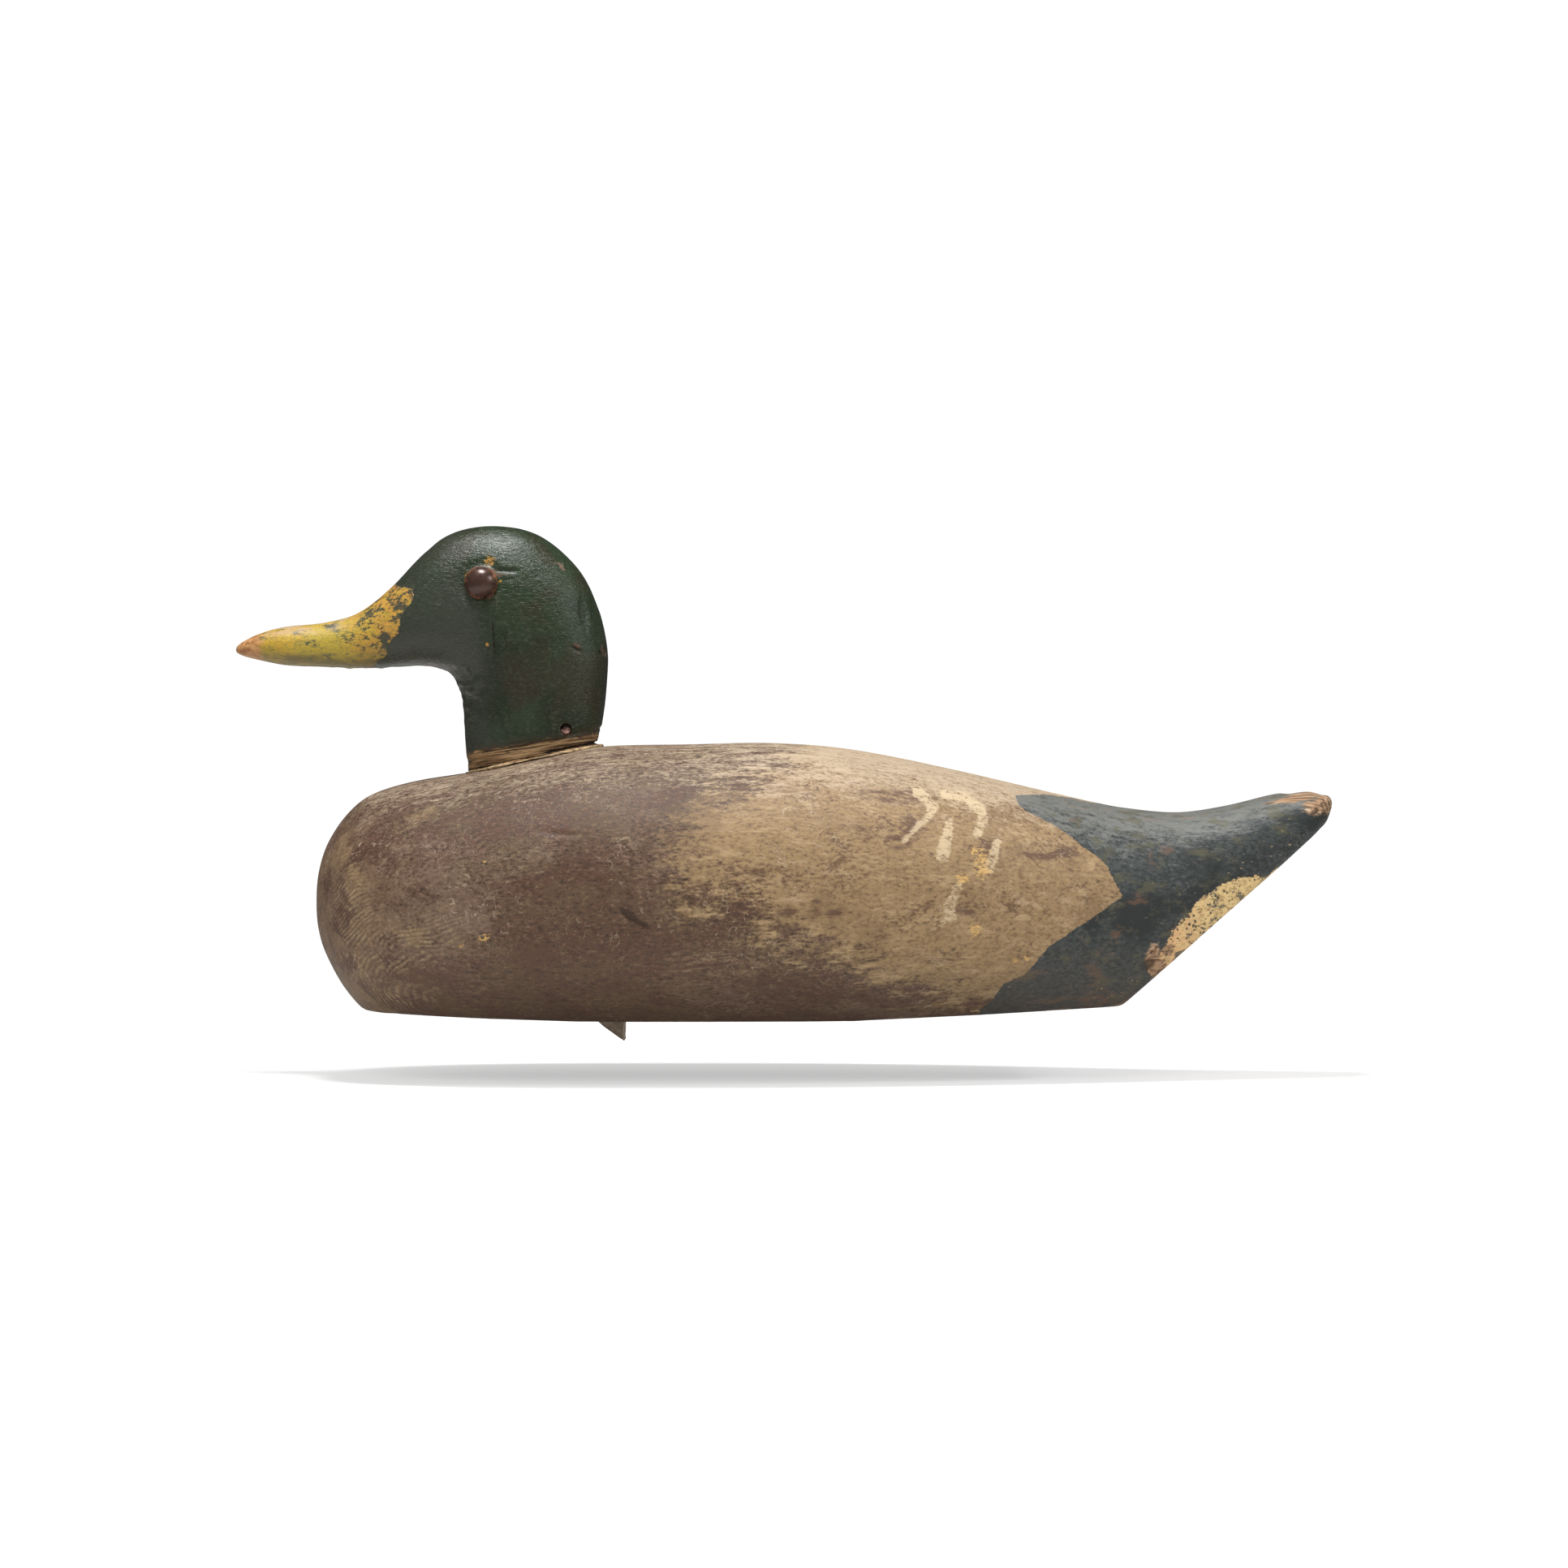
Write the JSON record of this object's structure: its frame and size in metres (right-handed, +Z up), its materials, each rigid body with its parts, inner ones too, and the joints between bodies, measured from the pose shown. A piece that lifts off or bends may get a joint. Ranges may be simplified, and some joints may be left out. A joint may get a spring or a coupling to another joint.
{
  "type": "floating duck decoy",
  "caption": "Solid carved wooden duck decoy with a doweled head, tack eyes, inlaid lead ballast and a hinged leather loop for its anchor line.",
  "frame": {"origin": "middle of the flat that the decoy stands on", "axes": "-X towards the bill, +X towards the tail, +Z up, -Y the decoy's left side"},
  "size_m": [0.4185, 0.1482, 0.197],
  "materials": {
    "body_wood": "worn matt oil paint over bare wood",
    "head_wood": "worn satin oil paint over bare wood",
    "dowel_wood": "bare hardwood",
    "filler": "cracked putty",
    "eye_tack": "dark brown japanned dome, worn",
    "rusty_iron": "rusted iron",
    "lead": "dull oxidised lead",
    "strap_leather": "weathered and stiff"
  },
  "bodies": {
    "decoy": {"body": "body_wood", "head": "head_wood", "neck_dowel": "dowel_wood", "neck_filler": "filler", "neck_nail_left": "rusty_iron", "neck_nail_right": "rusty_iron", "eye_cap_left": "eye_tack", "eye_cap_right": "eye_tack", "eye_shank_left": "rusty_iron", "eye_shank_right": "rusty_iron", "ballast_weight": "lead", "ballast_nail_front": "rusty_iron", "ballast_nail_rear": "rusty_iron", "line_tie_tails": "strap_leather", "line_tie_tack_inner": "rusty_iron", "line_tie_tack_outer": "rusty_iron"},
    "line_tie": {"line_tie_loop": "strap_leather"}
  },
  "joints": [
    {"name": "line_tie_swing", "type": "hinge", "parent": "decoy", "child": "line_tie", "pos_m": [-0.0403, 0, 0.0052], "axis": [1, 0, 0], "range_deg": [-80, 50], "stiffness_Nm_per_rad": 0.6}
  ]
}
